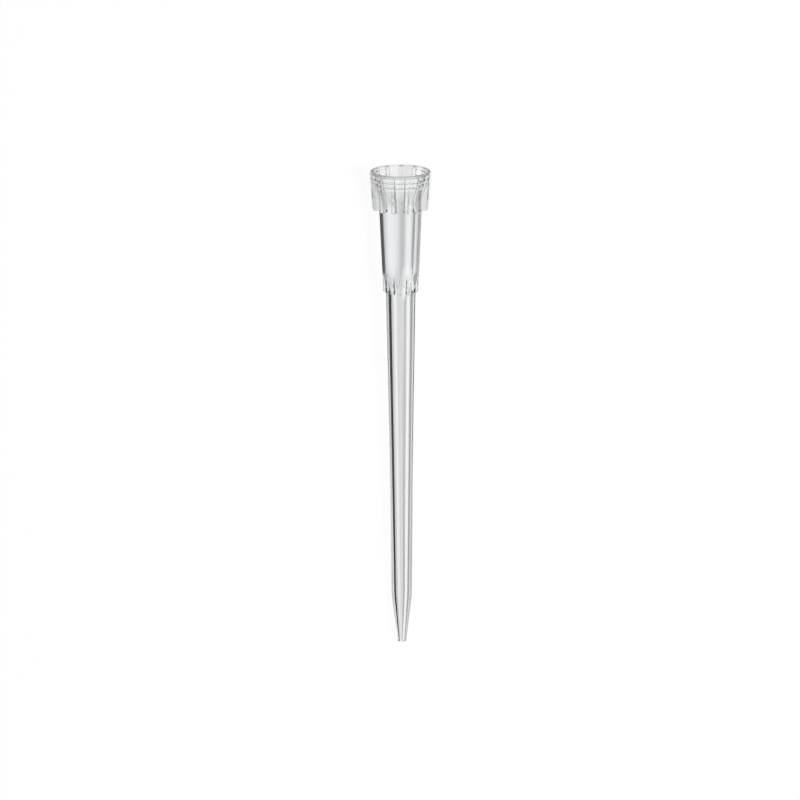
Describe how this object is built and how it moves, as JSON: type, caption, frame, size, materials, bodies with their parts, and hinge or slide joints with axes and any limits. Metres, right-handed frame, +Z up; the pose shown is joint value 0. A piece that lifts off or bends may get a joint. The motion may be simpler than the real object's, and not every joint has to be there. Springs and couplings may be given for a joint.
{
  "type": "pipette tip",
  "caption": "Long, thin disposable pipette tip in clear plastic: ringed mouth in a finned collar, barrel, finned step, narrow tapering tube and fine point, lying on its side.",
  "frame": {"origin": "on the surface the tip lies on, under the middle of its bounding box", "axes": "+Z up from the surface; +Y along the tip towards its mouth, the axis rising 2.7 degrees that way; +X across the tip"},
  "size_m": [0.006, 0.0462, 0.0059],
  "materials": {
    "clear_polypropylene": "clear, thin-walled injection moulding, glossy outside and in, with faint flow marks along the tube"
  },
  "bodies": {
    "root": {"pipette_tip": "clear_polypropylene"}
  },
  "joints": []
}
